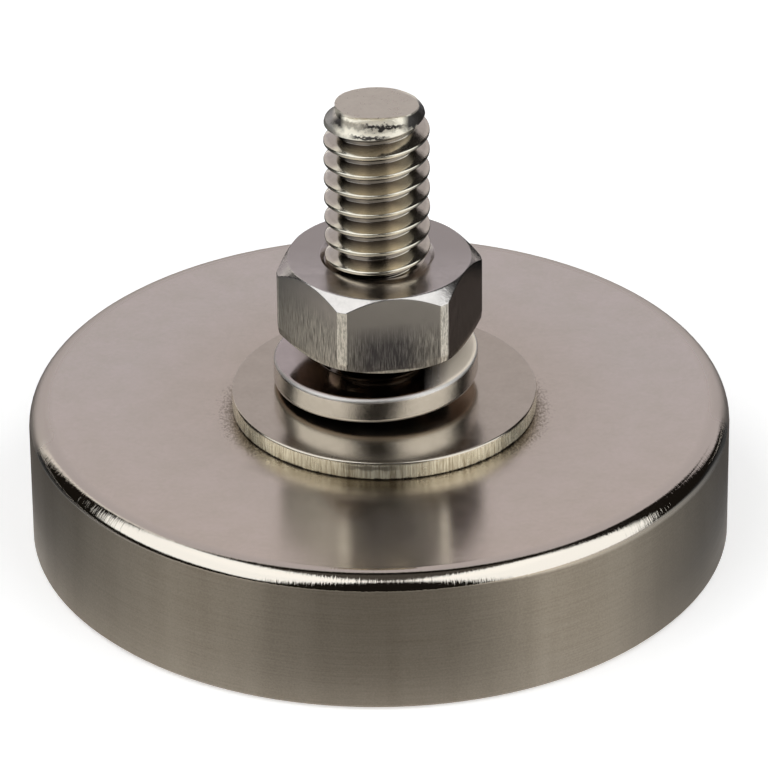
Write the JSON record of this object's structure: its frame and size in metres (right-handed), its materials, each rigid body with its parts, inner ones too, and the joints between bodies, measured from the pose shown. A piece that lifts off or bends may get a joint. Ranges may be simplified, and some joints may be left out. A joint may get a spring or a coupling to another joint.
{
  "type": "pot magnet",
  "caption": "Round pot magnet: a nickel-plated steel cup holding a magnet disc, with an upright threaded stud that carries a plain washer, a spring lock washer and a hexagon nut.",
  "frame": {"origin": "centre of the magnetic face, in the plane of the pot's rim", "axes": "+Z along the stud, away from the magnetic face; -Y is the front"},
  "size_m": [0.042, 0.042, 0.0284],
  "materials": {
    "pot_nickel": "satin nickel plate over fine turning marks",
    "magnet_nickel": "dull nickel plate",
    "resin": "black potting resin, cast",
    "stud_nickel": "bright nickel plate over a rolled thread",
    "washer_steel": "blanked, bright plated",
    "spring_steel": "coiled wire, bright plated",
    "nut_steel": "cold formed, plated, streaked flats"
  },
  "bodies": {
    "root": {"pot": "pot_nickel", "magnet": "magnet_nickel", "resin_ring": "resin", "stud": "stud_nickel", "flat_washer": "washer_steel", "lock_washer": "spring_steel", "hex_nut": "nut_steel"}
  },
  "joints": []
}
